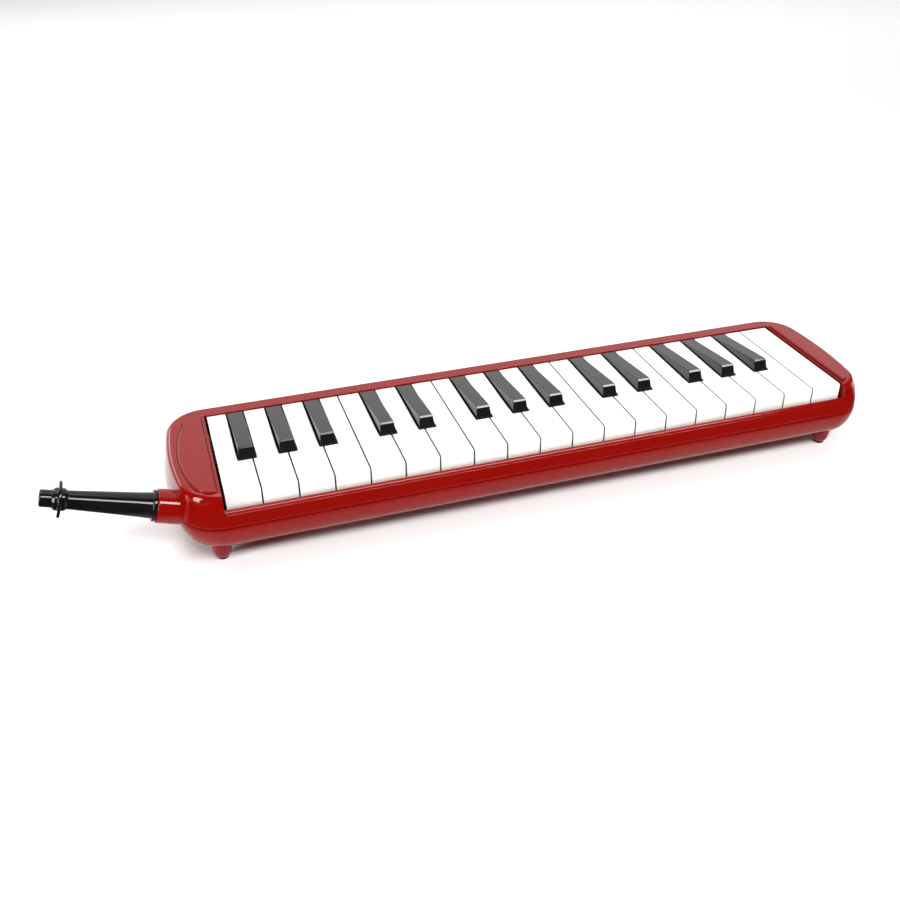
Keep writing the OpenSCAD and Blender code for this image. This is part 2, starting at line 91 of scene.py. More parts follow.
PART_Z = 26.6
SEAM = 0.6
RIM_Z = 37.0
RIM_ROUND = 2.0
DECK_Z = 46.5
FLOOR_Z = 9.6
WALL = 2.4
DECK_R = 3.0
PANEL_RISE = 1.2
GROOVE = 0.55
PANEL_STEP = 0.4
KEY_SLIM = 0.08
SIDE_GAP = 1.1
CHEEK = 2.2
BELLY = (11.4, PART_Z - SEAM - FLOOR_Z)

# How far each end leans in at the deck, and how the walls and the front corners draw in towards it.
LEAN = (3.2, 4.2)
TOP_INSET = 0.5
SOFT_CORNER = 2.6
SOFT_FROM = 33.0

# An end of the case: reach, y of its furthest point, front corner radius and its centre's x,
# back corner radius.
LEFT_END = (LEFT_REACH, 52.3, 24.7, -0.4, 22.1)
RIGHT_END = (RIGHT_REACH, 51.7, 20.0, -0.5, 20.6)
LEFT_PANEL = (19.4, 43.0, 10.0, -4.4, 7.0)
RIGHT_PANEL = (11.6, 56.0, 5.0, -1.8, 8.0)
PANEL_Y = (2.0, KEY_DEPTH - 0.9)
PANEL_FROM_KEYS = (3.4, 2.3)

TILT = math.radians(17.3)
BLOW_AXIS = (-math.cos(TILT), 0, math.sin(TILT))
MOUTH_AT = Vector((-34.9, 18.7, 34.2))
MOUTH_LEN = 58.4
PLUG_LEN = 18.0
SOCKET_LEN = 24.0
SOCKET_R = 9.25
SOCKET_BORE_R = 6.05
PLUG_R = 6.0
AIR_R = 3.2

AXLE = (70.0, 38.0)
LEVER_HALF = 2.5
LEVER_Z = (37.4, KEY_TOP - PLATE_T + 0.5)
BOSS_R = 4.2
BORE_R = 1.6
PAD_Z = (31.05, 32.55)
VALVE = (KEYS_W + 22.0, 73.2, 18.4)
FOOT_TIP = 1.6
FEET = [(x, y) for x in (-4.8, KEYS_W - 0.6) for y in (8.6, BACK_Y - 11.8)]
SCREWS = [
    (-10.5, 81.0), (-12.5, 60.0), (-12.5, 38.0),
    (KEYS_W + 8, 82.0), (KEYS_W + 9, 47.0), (KEYS_W + 7, 15.0),
]


def to_frame(point):
    return ORIGIN + Vector(point) * MM


# ---------- mesh helpers ----------


def arc(centre, radius, start, end, steps):
    """Points of an arc, both ends included, angles in degrees."""
    angles = [math.radians(start + (end - start) * k / steps) for k in range(steps + 1)]
    return [(centre[0] + radius * math.cos(a), centre[1] + radius * math.sin(a)) for a in angles]


def rounded(corners, steps=6):
    """A polyline through (a, b, fillet radius) corners, with each corner turned into an arc."""
    points = []
    for k, (a, b, radius) in enumerate(corners):
        here = Vector((a, b))
        if radius == 0 or k in (0, len(corners) - 1):
            points.append((a, b))
            continue
        back = (Vector(corners[k - 1][:2]) - here).normalized()
        ahead = (Vector(corners[k + 1][:2]) - here).normalized()
        half = back.angle(ahead) / 2
        centre = here + (back + ahead).normalized() * radius / math.sin(half)
        start = here + back * radius / math.tan(half) - centre
        end = here + ahead * radius / math.tan(half) - centre
        turn = start.angle_signed(end)
        points += [tuple(centre + Matrix.Rotation(-turn * j / steps, 2) @ start) for j in range(steps + 1)]
    return points


def new_object(name, points, faces):
    """A mesh object from keyboard coordinates, with its faces turned outwards."""
    mesh = bpy.data.meshes.new(name)
    mesh.from_pydata([to_frame(p) for p in points], [], faces)
    work = bmesh.new()
    work.from_mesh(mesh)
    bmesh.ops.remove_doubles(work, verts=work.verts, dist=1e-7)
    bmesh.ops.recalc_face_normals(work, faces=work.faces)
    work.to_mesh(mesh)
    work.free()
    made = bpy.data.objects.new(name, mesh)
    bpy.context.scene.collection.objects.link(made)
    return made


def loft(name, rings):
    """A closed body through rings of the same number of points."""
    n = len(rings[0])
    points = [p for ring in rings for p in ring]
    faces = [
        (j * n + k, j * n + (k + 1) % n, (j + 1) * n + (k + 1) % n, (j + 1) * n + k)
        for j in range(len(rings) - 1) for k in range(n)
    ]
    caps = [tuple(range(n)), tuple(range((len(rings) - 1) * n, len(rings) * n))]
    return new_object(name, points, faces + caps)


def prism_z(name, outline, low, high):
    return loft(name, [[(x, y, z) for x, y in outline] for z in (low, high)])


def prism_x(name, outline, low, high):
    return loft(name, [[(x, y, z) for y, z in outline] for x in (low, high)])


def prism_y(name, outline, low, high):
    return loft(name, [[(x, y, z) for x, z in outline] for y in (low, high)])


def box(name, low, high):
    outline = [(low[0], low[1]), (high[0], low[1]), (high[0], high[1]), (low[0], high[1])]
    return prism_z(name, outline, low[2], high[2])


def revolve(name, profile, centre, axis, steps=96):
    """A body turned from (radius, distance along the axis) points; it closes on itself or on the axis."""
    axis = Vector(axis).normalized()
    side = axis.orthogonal().normalized()
    other = axis.cross(side)
    rings = []
    for k in range(steps):
        a = 2 * math.pi * k / steps
        out = side * math.cos(a) + other * math.sin(a)
        rings.append([tuple(Vector(centre) + out * r + axis * t) for r, t in profile])
    n = len(profile)
    faces = [
        (j * n + k, j * n + k + 1, (j + 1) % steps * n + k + 1, (j + 1) % steps * n + k)
        for j in range(steps) for k in range(n - 1)
    ]
    if profile[0] != profile[-1] and profile[0][0] > 0:
        faces += [
            (j * n + n - 1, j * n, (j + 1) % steps * n, (j + 1) % steps * n + n - 1) for j in range(steps)
        ]
    return new_object(name, [p for ring in rings for p in ring], faces)


def settle(piece):
    """Makes the result of a piece's modifiers its own mesh."""
    graph = bpy.context.evaluated_depsgraph_get()
    mesh = bpy.data.meshes.new_from_object(piece.evaluated_get(graph))
    piece.modifiers.clear()
    piece.data = mesh
    return piece


def combine(piece, operation, others):
    """Joins, cuts or intersects a piece with others, which are used up."""
    for other in others:
        step = piece.modifiers.new("combine", "BOOLEAN")
        step.operation = operation
        step.solver = "EXACT"
        step.object = other
        settle(piece)
        bpy.data.objects.remove(other)
    return piece


def add_loose(piece, others):
    """Adds other solids to a piece as they are; they are used up."""
    work = bmesh.new()
    work.from_mesh(piece.data)
    for other in others:
        work.from_mesh(other.data)
        bpy.data.objects.remove(other)
    work.to_mesh(piece.data)
    work.free()
    return piece


def soften(piece, width, segments=3, angle=40):
    """Rounds the edges sharper than an angle, by a width in millimetres."""
    work = bmesh.new()
    work.from_mesh(piece.data)
    bmesh.ops.remove_doubles(work, verts=work.verts, dist=0.02 * MM)
    bmesh.ops.dissolve_limit(work, angle_limit=math.radians(0.5), verts=work.verts, edges=work.edges)
    work.to_mesh(piece.data)
    work.free()
    step = piece.modifiers.new("soften", "BEVEL")
    step.width = width * MM
    step.segments = segments
    step.limit_method = "ANGLE"
    step.angle_limit = math.radians(angle)
    step.use_clamp_overlap = False
    step.harden_normals = False
    return settle(piece)


def finish_piece(piece, body, node, slot, smooth_angle=32):
    """Shades a piece, gives it its material, and puts it in the frame in place of its CAD node."""
    for polygon in piece.data.polygons:
        polygon.use_smooth = True
    piece.data.set_sharp_from_angle(angle=math.radians(smooth_angle))
    step = piece.modifiers.new("even_normals", "WEIGHTED_NORMAL")
    step.keep_sharp = True
    piece.data.materials.clear()
    piece.data.materials.append(MATERIALS[slot])
    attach(piece, body)
    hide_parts(node)
    return piece


# ---------- materials ----------


class Shader:
    """A small builder for one node material around a Principled shader."""

    def __init__(self, name):
        self.material = bpy.data.materials.new(name)
        self.material.use_nodes = True
        self.tree = self.material.node_tree
        self.surface = self.tree.nodes["Principled BSDF"]
        self.place = self.tree.nodes.new("ShaderNodeTexCoord").outputs["Object"]

    def feed(self, socket, value):
        """Links a socket to another, or gives it a value."""
        if isinstance(value, bpy.types.NodeSocket):
            self.tree.links.new(value, socket)
        else:
            socket.default_value = value

    def node(self, kind, **inputs):
        made = self.tree.nodes.new(kind)
        for name, value in inputs.items():
            self.feed(made.inputs[name.replace("_", " ")], value)
        return made

    def maths(self, kind, operation, *inputs):
        """A math or vector math node on the given inputs."""
        made = self.tree.nodes.new(kind)
        made.operation = operation
        for socket, value in zip(made.inputs, inputs):
            self.feed(socket, value)
        return made

    def mix(self, blend_type, first, second):
        """Two colours put together in full by a blend type."""
        made = self.node("ShaderNodeMixRGB", Fac=1.0, Color1=first, Color2=second)
        made.blend_type = blend_type
        return made.outputs["Color"]

    def noise(self, scale, detail=3.0, roughness=0.5, stretch=(1, 1, 1)):
        spot = self.node("ShaderNodeMapping", Vector=self.place, Scale=stretch).outputs["Vector"]
        made = self.node("ShaderNodeTexNoise", Vector=spot, Scale=scale, Detail=detail, Roughness=roughness)
        return made.outputs["Fac"]

    def ramp(self, value, *stops):
        """Maps a 0 to 1 value through (position, grey or colour) stops."""
        made = self.node("ShaderNodeValToRGB", Fac=value)
        elements = made.color_ramp.elements
        while len(elements) < len(stops):
            elements.new(0.5)
        for element, (position, colour) in zip(elements, stops):
            element.position = position
            element.color = (*colour, 1) if isinstance(colour, tuple) else (colour, colour, colour, 1)
        return made.outputs["Color"]

    def bump(self, height, strength, distance, under=None):
        made = self.node("ShaderNodeBump", Height=height, Strength=strength, Distance=distance * MM)
        if under:
            self.feed(made.inputs["Normal"], under)
        return made.outputs["Normal"]

    def set(self, **inputs):
        for name, value in inputs.items():
            self.feed(self.surface.inputs[name.replace("_", " ")], value)
        return self.material


def mix_colour(shader, factor, low, high):
    return shader.ramp(factor, (0.0, low), (1.0, high))


def gloss_plastic(name, low, high, roughness, ripple, handling, sheen):
    """Moulded plastic: faint colour drift, a soft ripple from the mould, and handling marks in the gloss."""
    s = Shader(name)
    drift = s.noise(35, 2)
    smears = s.noise(160, 5, 0.65)
    scuffs = s.ramp(s.noise(900, 2, 0.5, (1, 0.12, 1)), (0.0, 0.0), (0.62, 0.0), (0.72, 1.0))
    gloss = s.ramp(smears, (0.3, roughness), (0.75, roughness * 1.5 + handling))
    worn = s.maths("ShaderNodeMath", "MULTIPLY", scuffs, handling)
    total = s.maths("ShaderNodeMath", "ADD", gloss, worn.outputs[0])
    wave = s.bump(s.noise(240, 2), ripple, 0.05)
    colour = mix_colour(s, drift, low, high)
    return s.set(Base_Color=colour, Roughness=total.outputs[0], Normal=wave, Specular_IOR_Level=sheen)


def key_white():
    """Pale gloss plastic, darkened in the gaps between keys by painted shade from an ambient occlusion node.
    """
    s = Shader("key_white")
    unshaded_white = mix_colour(s, s.noise(60, 3), (0.86, 0.84, 0.79), (0.92, 0.905, 0.86))
    # Painted shade: ambient occlusion darkens the key sides deep in the gaps between keys to a dark brown.
    corners = s.node("ShaderNodeAmbientOcclusion", Distance=1.3 * MM)
    corners.samples = 6
    painted_gap_shade = s.ramp(corners.outputs["AO"], (0.36, (0.06, 0.05, 0.025)), (0.66, (1.0, 1.0, 1.0)))
    colour = s.mix("MULTIPLY", unshaded_white, painted_gap_shade)
    gloss = s.ramp(s.noise(220, 5, 0.6), (0.3, 0.17), (0.8, 0.26))
    grain = s.bump(s.noise(1500, 3), 0.05, 0.03)
    wave = s.bump(s.noise(150, 2), 0.06, 0.06, grain)
    return s.set(Base_Color=colour, Roughness=gloss, Normal=wave)


def key_black():
    s = Shader("key_black")
    colour = mix_colour(s, s.noise(90, 3), (0.004, 0.0036, 0.0038), (0.009, 0.008, 0.0085))
    gloss = s.ramp(s.noise(350, 4, 0.6), (0.3, 0.11), (0.8, 0.2))
    grain = s.bump(s.noise(2600, 2, 0.5, (1, 0.25, 1)), 0.12, 0.04)
    return s.set(Base_Color=colour, Roughness=gloss, Normal=grain)


def rubber():
    s = Shader("rubber_black")
    colour = mix_colour(s, s.noise(500, 4), (0.012, 0.012, 0.012), (0.035, 0.033, 0.032))
    grain = s.bump(s.noise(3000, 4), 0.35, 0.08)
    return s.set(Base_Color=colour, Roughness=0.72, Normal=grain)


def metal(name, low, high, roughness, stretch):
    """Drawn or rolled metal with fine lines along one direction and a little tarnish."""
    s = Shader(name)
    lines = s.noise(2200, 3, 0.6, stretch)
    tarnish = s.noise(180, 4, 0.6)
    gloss = s.ramp(lines, (0.25, roughness), (0.8, roughness + 0.14))
    return s.set(
        Base_Color=mix_colour(s, tarnish, low, high), Metallic=1.0, Roughness=gloss,
        Normal=s.bump(lines, 0.12, 0.03),
    )


def felt():
    s = Shader("felt")
    fibres = s.noise(4200, 6, 0.75)
    colour = mix_colour(s, fibres, (0.1, 0.008, 0.01), (0.34, 0.03, 0.035))
    fuzz = s.bump(fibres, 0.7, 0.25)
    return s.set(Base_Color=colour, Roughness=0.95, Normal=fuzz, Sheen_Weight=0.35, Sheen_Roughness=0.5)


def matte_plastic(name, low, high):
    s = Shader(name)
    grain = s.noise(1800, 4, 0.6)
    return s.set(
        Base_Color=mix_colour(s, s.noise(80, 3), low, high),
        Roughness=s.ramp(grain, (0.2, 0.5), (0.8, 0.68)), Normal=s.bump(grain, 0.25, 0.06),
    )


MATERIALS = {
    "red_case": gloss_plastic(
        "red_case", (0.216, 0.002, 0.0009), (0.24, 0.003, 0.0013),
        roughness=0.045, ripple=0.05, handling=0.03, sheen=0.38,
    ),
    "black_gloss": gloss_plastic(
        "black_gloss", (0.004, 0.004, 0.004), (0.008, 0.008, 0.008),
        roughness=0.05, ripple=0.05, handling=0.03, sheen=0.36,
    ),
    "key_white": key_white(),
    "key_black": key_black(),
    "rubber_black": rubber(),
    "screw_steel": metal("screw_steel", (0.5, 0.5, 0.51), (0.66, 0.66, 0.68), 0.28, (1, 1, 0.2)),
    "steel_rod": metal("steel_rod", (0.6, 0.6, 0.62), (0.72, 0.72, 0.74), 0.16, (0.05, 1, 1)),
    "spring_brass": metal("spring_brass", (0.55, 0.36, 0.13), (0.7, 0.5, 0.2), 0.24, (1, 0.1, 1)),
    "reed_brass": metal("reed_brass", (0.6, 0.42, 0.16), (0.76, 0.58, 0.26), 0.2, (1, 0.1, 1)),
    "felt": felt(),
    "black_inner": matte_plastic("black_inner", (0.012, 0.012, 0.012), (0.028, 0.028, 0.028)),
    "pale_inner": matte_plastic("pale_inner", (0.6, 0.59, 0.55), (0.7, 0.69, 0.65)),
}

for part in frame["record"]["subparts"]:
    cad_mesh = frame["nodes"][part["node"]].data
    cad_mesh.materials.clear()
    cad_mesh.materials.append(MATERIALS[part["material_slot"]])

# ---------- case ----------


def end_points(end, front, back, inset, lean, corner=0.0):
    """Outline of an end that faces -X, from its back to its front.

    It is inset inwards, moved in by lean, and cut back at the middle of its front corner by corner.
    """
    reach, mid_y, near_r, near_x, far_r = end
    near = (near_x, front + near_r)
    dx = reach + near[0]
    dy = mid_y - near[1]
    big = (dx * dx + dy * dy - near_r * near_r) / (2 * (dx - near_r))
    middle = (big - reach, mid_y)
    far_dy = back - far_r - mid_y
    far = (middle[0] - math.sqrt((big - far_r) ** 2 - far_dy * far_dy), back - far_r)
    far_a = math.degrees(math.asin(far_dy / (big - far_r)))
    near_a = math.degrees(math.asin(dy / (big - near_r)))
    points = arc(far, far_r - inset, 90, 180 - far_a, 24)[:-1]
    points += arc(middle, big - inset, 180 - far_a, 180 + near_a, 20)[:-1]
    for k in range(25):
        a = math.radians(180 + near_a + (90 - near_a) * k / 24)
        r = near_r - inset - corner * math.sin(math.pi * k / 24)
        points.append((near[0] + r * math.cos(a), near[1] + r * math.sin(a)))
    return [(x + lean, y) for x, y in points]


def to_right_end(points):
    return [(KEYS_W - x, y) for x, y in reversed(points)]


def case_ring(inset, z):
    """One ring of the case at a height; the ends lean in above the joint of the two shells."""
    rise = max(0.0, min(1.0, (z - PART_Z) / (DECK_Z - PART_Z))) ** 2
    bend = max(0.0, min(1.0, (z - SOFT_FROM) / (DECK_Z - SOFT_FROM)))
    corner = SOFT_CORNER * (1 - math.sqrt(1 - bend * bend))
    left = end_points(LEFT_END, FRONT_Y, BACK_Y, inset, LEAN[0] * rise, corner)
    right = to_right_end(end_points(RIGHT_END, FRONT_Y, BACK_Y, inset, LEAN[1] * rise, corner))
    return [(x, y, z) for x, y in left + right]


def cylinder(name, radius, low, high, centre, axis, steps):
    return revolve(name, [(0, low), (radius, low), (radius, high), (0, high)], centre, axis, steps)


def socket_hole():
    return cylinder("socket_hole", SOCKET_R - 0.3, -30, 30, MOUTH_AT, BLOW_AXIS, 96)


def panel(name, points, x_low, x_high, z_low, z_high):
    """D-shaped block of one end, its straight side along the keys."""
    kept = [(min(max(x, x_low), x_high), y) for x, y in points]
    straight = x_high if x_low < 0 else x_low
    inside = [p for p in kept if abs(p[0] - straight) > 1e-6]
    ends = [(straight, inside[0][1]), (straight, inside[-1][1])]
    return prism_z(name, [ends[0]] + inside + [ends[1]], z_low, z_high)


def rim_cutter():
    """What is taken off the outer corner of the front rim to round it."""
    edge_y = FRONT_Y + 0.55
    round_off = arc((edge_y + RIM_ROUND, RIM_Z - RIM_ROUND), RIM_ROUND, 180, 90, 8)
    outline = [
        (edge_y - 4, RIM_Z - RIM_ROUND), *round_off, (edge_y + RIM_ROUND, RIM_Z + 1), (edge_y - 4, RIM_Z + 1),
    ]
    return prism_x("rim_cutter", outline, -SIDE_GAP, KEYS_W + SIDE_GAP)


def upper_case():
    """The shell above the seam, with the key opening, the raised end panels and the front rim."""
    edge = [
        case_ring(TOP_INSET + DECK_R * (1 - math.cos(a)), DECK_Z - DECK_R * (1 - math.sin(a)))
        for a in (math.radians(90 * k / 10) for k in range(11))
    ]
    lip = [case_ring(1.6, PART_Z + 0.2), case_ring(0.45, PART_Z + 0.2), case_ring(0.12, PART_Z + 0.4)]
    wall_low = PART_Z + 0.8
    wall_h = DECK_Z - DECK_R - wall_low
    walls = [case_ring(TOP_INSET * (k / 10) ** 1.5, wall_low + wall_h * k / 10) for k in range(10)]
    shell = loft("upper_case_shell", lip + walls + edge)
    hollow = loft("hollow", [
        case_ring(1.4, PART_Z - 1), case_ring(1.4, PART_Z + 1.8), case_ring(WALL + 0.2, PART_Z + 1.8),
        case_ring(WALL + 0.6, 37.5), case_ring(WALL + 1, DECK_Z - WALL - 1.5),
        case_ring(WALL + 2, DECK_Z - WALL),
    ])
    cheeks = [
        box("cheek", (x, -10, PART_Z + 4), (x + CHEEK, KEY_DEPTH + 2, DECK_Z))
        for x in (-SIDE_GAP - CHEEK, KEYS_W + SIDE_GAP)
    ]
    combine(hollow, "DIFFERENCE", cheeks)
    combine(shell, "DIFFERENCE", [hollow])
    for operation, grow, z_low, z_high in (
        ("DIFFERENCE", GROOVE, DECK_Z - GROOVE, DECK_Z + 3),
        ("UNION", 0, DECK_Z - 1, DECK_Z + PANEL_RISE - PANEL_STEP),
        ("UNION", -PANEL_STEP, DECK_Z - 0.9, DECK_Z + PANEL_RISE),
    ):
        y_low, y_high = PANEL_Y[0] - grow, PANEL_Y[1] + grow
        left = end_points(LEFT_PANEL, y_low, y_high, 0, -grow)
        right = to_right_end(end_points(RIGHT_PANEL, y_low, y_high, 0, -grow))
        combine(shell, operation, [
            panel("left_panel", left, -LEFT_REACH, grow - PANEL_FROM_KEYS[0], z_low, z_high),
            panel(
                "right_panel", right, KEYS_W + PANEL_FROM_KEYS[1] - grow, KEYS_W + RIGHT_REACH,
                z_low, z_high,
            ),
        ])
    opening = box("opening", (-SIDE_GAP, -10, RIM_Z), (KEYS_W + SIDE_GAP, KEY_DEPTH + 0.8, DECK_Z + 10))
    combine(shell, "DIFFERENCE", [opening, rim_cutter(), socket_hole()])
    soften(shell, 0.24)
    return finish_piece(shell, "case", "upper_case", "red_case")


def foot_profile():
    top = 15.6
    side = rounded([(3.2, FOOT_TIP, 0), (4.6, 3.6, 4), (5.25, 7.5, 8), (5.6, top, 0)])
    return [(0, FOOT_TIP)] + side + [(0, top)]


def lower_case():
    """The tray below the seam, with its feet, screw holes, socket hole and valve hole."""
    belly = [
        case_ring(BELLY[0] * (1 - math.cos(a)), PART_Z - SEAM - BELLY[1] * math.sin(a))
        for a in (math.radians(90 - 90 * k / 16) for k in range(17))
    ]
    lip = [case_ring(0.12, PART_Z - 0.3), case_ring(0.45, PART_Z - 0.1), case_ring(1.6, PART_Z - 0.1)]
    shell = loft("lower_case_shell", belly + lip)
    inner = WALL + 0.4
    inside = [
        case_ring(BELLY[0] * (1 - math.cos(a)) + inner, PART_Z - SEAM - (BELLY[1] - WALL) * math.sin(a))
        for a in (math.radians(60 - 10 * k) for k in range(7))
    ]
    hollow = loft(
        "hollow", [case_ring(BELLY[0] - 0.4, FLOOR_Z + WALL)] + inside + [case_ring(inner, PART_Z + 3)]
    )
    combine(shell, "DIFFERENCE", [hollow])
    feet = [revolve("foot", foot_profile(), (x, y, 0), UP, 64) for x, y in FEET]
    combine(shell, "UNION", feet)
    holes = [socket_hole()]
    for x, y in SCREWS:
        holes.append(cylinder("screw_head_hole", 3.2, -1, 1.2, (x, y, FLOOR_Z), UP, 48))
        holes.append(cylinder("screw_hole", 1.7, 0, 5, (x, y, FLOOR_Z), UP, 32))
    holes.append(cylinder("valve_hole", 4.1, -12, 10, VALVE, RIGHT, 64))
    combine(shell, "DIFFERENCE", holes)
    soften(shell, 0.3)
    return finish_piece(shell, "case", "lower_case", "red_case")


def foot_tips():
    profile = [(0, 0)] + rounded([(0.5, 0, 0), (3.05, 0, 0.9), (3.1, FOOT_TIP, 0)]) + [(0, FOOT_TIP)]
    tips = [revolve("foot_tip", profile, (x, y, 0), UP, 48) for x, y in FEET]
    piece = add_loose(tips[0], tips[1:])
    piece.name = "foot_tips_rubber"
    return finish_piece(piece, "case", "foot_tips", "rubber_black")


# ---------- air inlet ----------


def inlet_socket():
    seat = -PLUG_LEN - 2
    profile = rounded([
        (AIR_R, -SOCKET_LEN, 0), (SOCKET_R, -SOCKET_LEN, 0.3), (SOCKET_R, 0, 0.7), (SOCKET_BORE_R, 0, 0.4),
        (SOCKET_BORE_R, seat, 0.3), (AIR_R, seat, 0), (AIR_R, -SOCKET_LEN, 0),
    ])
    piece = revolve("inlet_socket_tube", profile, MOUTH_AT, BLOW_AXIS, 128)
    return finish_piece(piece, "case", "inlet_socket", "red_case")


def mouthpiece():
    """Turned as one piece: plug, collar, cone, the disc between its two hubs, and tip."""
    disc_low = MOUTH_LEN - 10.7
    disc_high = MOUTH_LEN - 9
    profile = rounded([
        (AIR_R, -PLUG_LEN, 0), (PLUG_R, -PLUG_LEN, 0.5), (PLUG_R, 0.1, 0.1), (8.5, 0.1, 0.5), (8.5, 2.2, 0.5),
        (7.1, 2.3, 0.3), (6.6, 9, 8), (5, disc_low - 3.2, 1), (6, disc_low - 1.7, 0.8), (6.1, disc_low, 0.4),
        (9.8, disc_low, 0.5), (9.8, disc_high, 0.6), (6.1, disc_high, 0.4), (6, disc_high + 1.5, 0.8),
        (4.7, disc_high + 2.9, 1), (4.6, MOUTH_LEN, 0.9), (AIR_R, MOUTH_LEN, 0.35), (AIR_R, -PLUG_LEN, 0),
    ])
    piece = revolve("mouthpiece_tube", profile, MOUTH_AT, BLOW_AXIS, 128)
    return finish_piece(piece, "mouthpiece", "mouthpiece", "black_gloss")


def spit_valve_button():
    stem_end = KEYS_W - 3 - 4.2 - VALVE[0]
    profile = [(0, stem_end)] + rounded([
        (1.1, stem_end, 0), (1.1, -7, 0.2), (4, -7, 0.3), (4, 0, 0.9), (1, 0, 0),
    ]) + [(0, 0)]
    piece = revolve("spit_valve_button_cap", profile, VALVE, RIGHT, 64)
    return finish_piece(piece, "spit_valve", "spit_valve_button", "black_gloss")


# ---------- keys ----------


def has_sharp(i):
    return 0 <= i < WHITE_COUNT - 1 and SHARP_SHIFT[i % 7] is not None


def sharp_x(i):
    return (i + 1) * PITCH + SHARP_SHIFT[i % 7]


def octave(i):
    return 3 + (i + 3) // 7


def lever(x, start_y):
    """The beam under a key, its bored boss, its tail arm and its pad."""
    sides = (x - LEVER_HALF, x + LEVER_HALF)
    low, high = LEVER_Z
    beam = prism_x("beam", [(start_y, high), (start_y, low), (AXLE[0], low), (AXLE[0], high)], *sides)
    tail = prism_x("tail", [
        (AXLE[0] - 4, high), (AXLE[0] - 4, 35.5), (86, 37.5), (86, PAD_Z[1]), (91.7, PAD_Z[1]), (91.7, 40.6),
        (84, 41.4), (80, high),
    ], *sides)
    inner, half = BORE_R - 0.05, 3.6
    ring = rounded([
        (inner, -half, 0), (BOSS_R, -half, 0.3), (BOSS_R, half, 0.3), (inner, half, 0), (inner, -half, 0),
    ], 3)
    boss = revolve("boss", ring, (x, *AXLE), RIGHT, 40)
    pad = box("pad", (x - 3.4, 86.2, PAD_Z[0]), (x + 3.4, 91.6, PAD_Z[1]))
    bore = cylinder("bore", BORE_R, -5, 5, (x, *AXLE), RIGHT, 40)
    arm = combine(combine(beam, "UNION", [tail]), "DIFFERENCE", [bore])
    return [arm, boss, pad]


def white_key(i):
    """A plate with a turned-down front and skirts, notched for the black keys beside it."""
    left = i * PITCH + GAP / 2 + KEY_SLIM
    right = (i + 1) * PITCH - GAP / 2 - KEY_SLIM
    tail_left = sharp_x(i - 1) + NOTCH_HALF if has_sharp(i - 1) else left
    tail_right = sharp_x(i) - NOTCH_HALF if has_sharp(i) else right
    under = KEY_TOP - PLATE_T
    front_t, front_low = 2.2, 33
    nose_r = 1.6
    nose = arc((nose_r, KEY_TOP - nose_r), nose_r, 180, 90, 10)
    profile = [
        (0, front_low), *nose, (KEY_DEPTH, KEY_TOP), (KEY_DEPTH, under), (front_t, under),
        (front_t, front_low),
    ]
    name = f"white_key_{LETTERS[i % 7]}{octave(i)}"
    piece = prism_x(f"{name}_body", profile, left, right)
    skirt_t = 1.4
    skirts = [box("skirt", (x, 2, 36.4), (x + skirt_t, 28, KEY_TOP - 2)) for x in (left, right - skirt_t)]
    combine(piece, "UNION", skirts)
    notches = []
    if tail_left > left:
        notches.append(box("notch", (left - 1, NOTCH_Y, 30), (tail_left, KEY_DEPTH + 2, 60)))
    if tail_right < right:
        notches.append(box("notch", (tail_right, NOTCH_Y, 30), (right + 1, KEY_DEPTH + 2, 60)))
    combine(piece, "DIFFERENCE", notches)
    soften(piece, 0.28, 3, 50)
    add_loose(piece, lever((tail_left + tail_right) / 2, 26))
    return finish_piece(piece, name, name, "key_white")


def black_key(i):
    """A wedge, higher at the front, with sides that slope and a cut-off front edge."""
    x = sharp_x(i)
    name = f"black_key_{LETTERS[i % 7]}{octave(i)}_sharp"
    side = rounded([
        (KEY_DEPTH, SHARP_LOW, 0), (SHARP_FRONT - 0.4, SHARP_LOW, 0.3),
        (SHARP_FRONT + 2.25, SHARP_TOP - 0.9, 0.2), (SHARP_FRONT + 3.1, SHARP_TOP, 0.2),
        (KEY_DEPTH, KEY_TOP + 0.2, 0),
    ], 4)
    slope = 0.1
    low_half = SHARP_HALF + slope * (KEY_TOP - SHARP_LOW)
    top_half = SHARP_HALF - slope * (SHARP_TOP - KEY_TOP)
    section = [
        (x - low_half, SHARP_LOW), (x + low_half, SHARP_LOW), (x + top_half, SHARP_TOP + 0.01),
        (x - top_half, SHARP_TOP + 0.01),
    ]
    piece = prism_x(f"{name}_body", side, x - 9, x + 9)
    combine(piece, "INTERSECT", [prism_y("section", section, 20, KEY_DEPTH + 5)])
    soften(piece, 0.3, 3, 50)
    add_loose(piece, lever(x, SHARP_FRONT + 3))
    return finish_piece(piece, name, name, "key_black")


upper_case()
lower_case()
foot_tips()
inlet_socket()
mouthpiece()
spit_valve_button()
for index in range(WHITE_COUNT):
    white_key(index)
    if has_sharp(index):
        black_key(index)

# ---------- studio, in metres ----------

CARD_LIFT = 0.0006
CARD_FADE = 0.12
WHITE_TOWARDS = Vector((0.1, 0.8, 0.58)).normalized()


def flat_sheet(name, x_low, y_low, x_high, y_high, z):
    """A level rectangle of the studio, in metres."""
    mesh = bpy.data.meshes.new(name)
    corners = [(x_low, y_low, z), (x_high, y_low, z), (x_high, y_high, z), (x_low, y_high, z)]
    mesh.from_pydata(corners, [], [(0, 1, 2, 3)])
    sheet = bpy.data.objects.new(name, mesh)
    bpy.context.scene.collection.objects.link(sheet)
    return sheet


def floor():
    """A pale sheet under the object."""
    sheet = flat_sheet("floor", -6, -6, 6, 6, 0)
    s = Shader("floor_paper")
    paper = mix_colour(s, s.noise(40, 3), (0.965, 0.965, 0.965), (0.98, 0.98, 0.98))
    sheet.data.materials.append(s.set(Base_Color=paper, Roughness=0.9, Specular_IOR_Level=0.0))


